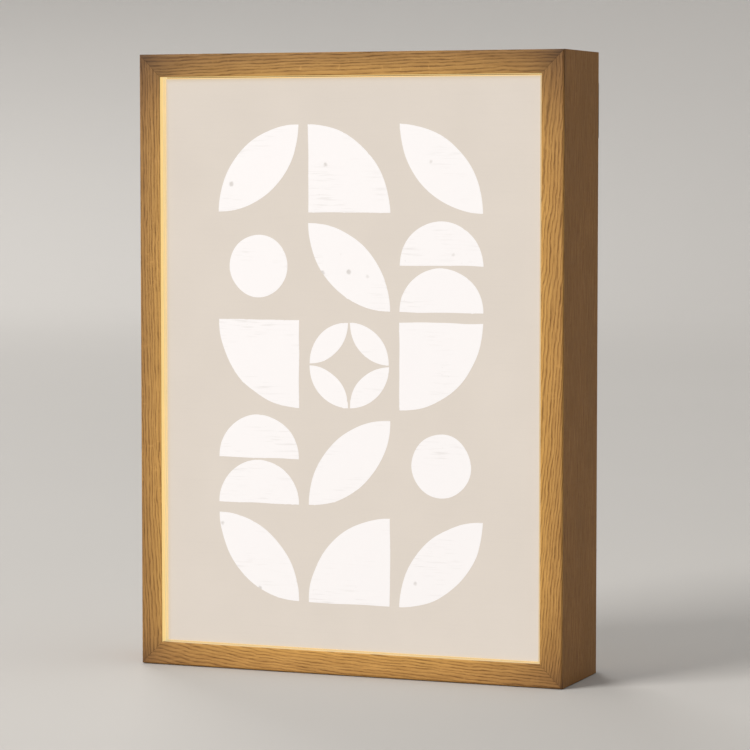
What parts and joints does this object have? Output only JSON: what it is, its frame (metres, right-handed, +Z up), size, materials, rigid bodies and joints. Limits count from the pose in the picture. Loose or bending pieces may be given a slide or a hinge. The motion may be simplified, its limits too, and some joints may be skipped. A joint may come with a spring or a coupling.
{
  "type": "light box",
  "caption": "Deep oak box frame around a back-lit print panel that floats in its opening, lit at its margin and at the rear, with keyhole hangers and a rocker switch.",
  "frame": {"origin": "middle of the footprint on the bottom plane, halfway between the front of the oak and the wall plane", "axes": "+Z up along the height, +Y back towards the wall, -Y out of the print, +X to the viewer's right"},
  "size_m": [0.331, 0.092, 0.454],
  "materials": {
    "oak": "oiled oak, open grain",
    "beech": "sawn",
    "pine": "sawn",
    "hardboard": "white lacquered board",
    "print": "matt print, lit from behind",
    "opal_acrylic": "opal, lit",
    "clear_acrylic": "clear",
    "white_metal": "white powder coat",
    "circuit_board": "white solder mask",
    "black_plastic": "fine matt moulding",
    "lead_sleeve": "smooth sleeve",
    "rubber": "matt",
    "zinc_steel": "bright zinc",
    "hanger_steel": "zinc, rolled",
    "silicone": "milky silicone, lit"
  },
  "bodies": {
    "case": {"back_batten_bottom": "pine", "back_batten_left": "pine", "back_batten_right": "pine", "back_batten_top": "pine", "back_panel": "hardboard", "bus_board": "circuit_board", "dc_jack": "black_plastic", "dc_jack_nut": "zinc_steel", "diffuser": "opal_acrylic", "halo_strip": "silicone", "hanger_screw_left_bottom": "zinc_steel", "hanger_screw_left_top": "zinc_steel", "hanger_screw_right_bottom": "zinc_steel", "hanger_screw_right_top": "zinc_steel", "keyhole_plate_left": "hanger_steel", "keyhole_plate_right": "hanger_steel", "lead_halo": "lead_sleeve", "lead_inlet": "lead_sleeve", "lead_strips": "lead_sleeve", "lead_switch": "lead_sleeve", "led_driver": "black_plastic", "led_strip_1": "circuit_board", "led_strip_2": "circuit_board", "led_strip_3": "circuit_board", "led_strip_4": "circuit_board", "led_strip_5": "circuit_board", "mitre_key_bottom_left": "beech", "mitre_key_bottom_right": "beech", "mitre_key_top_left": "beech", "mitre_key_top_right": "beech", "panel_spacer_bottom_left": "clear_acrylic", "panel_spacer_bottom_right": "clear_acrylic", "panel_spacer_top_left": "clear_acrylic", "panel_spacer_top_right": "clear_acrylic", "print_panel": "print", "rail_bottom": "oak", "rail_left": "oak", "rail_right": "oak", "rail_top": "oak", "reflector_tray": "white_metal", "switch_housing": "black_plastic", "tray_grommet": "rubber", "tray_screw_left_bottom": "zinc_steel", "tray_screw_left_top": "zinc_steel", "tray_screw_right_bottom": "zinc_steel", "tray_screw_right_top": "zinc_steel", "turn_button_screw_left_bottom": "zinc_steel", "turn_button_screw_left_top": "zinc_steel", "turn_button_screw_right_bottom": "zinc_steel", "turn_button_screw_right_top": "zinc_steel", "wall_bumper_bottom_left": "rubber", "wall_bumper_bottom_right": "rubber", "wall_bumper_top_left": "rubber", "wall_bumper_top_right": "rubber"},
    "button_left_bottom": {"turn_button_left_bottom": "zinc_steel"},
    "button_left_top": {"turn_button_left_top": "zinc_steel"},
    "button_right_bottom": {"turn_button_right_bottom": "zinc_steel"},
    "button_right_top": {"turn_button_right_top": "zinc_steel"},
    "rocker": {"switch_rocker": "black_plastic"}
  },
  "joints": [
    {"name": "turn_button_left_bottom_turn", "type": "hinge", "parent": "case", "child": "button_left_bottom", "pos_m": [-0.157, 0.03505, 0.11], "axis": [0, 1, 0], "range_deg": [-90, 90]},
    {"name": "turn_button_left_top_turn", "type": "hinge", "parent": "case", "child": "button_left_top", "pos_m": [-0.157, 0.03505, 0.33], "axis": [0, 1, 0], "range_deg": [-90, 90]},
    {"name": "turn_button_right_bottom_turn", "type": "hinge", "parent": "case", "child": "button_right_bottom", "pos_m": [0.157, 0.03505, 0.11], "axis": [0, 1, 0], "range_deg": [-90, 90]},
    {"name": "turn_button_right_top_turn", "type": "hinge", "parent": "case", "child": "button_right_top", "pos_m": [0.157, 0.03505, 0.33], "axis": [0, 1, 0], "range_deg": [-90, 90]},
    {"name": "switch_rock", "type": "hinge", "parent": "case", "child": "rocker", "pos_m": [-0.1582, 0.009, 0.09], "axis": [0, 1, 0], "range_deg": [-20, 0]}
  ]
}
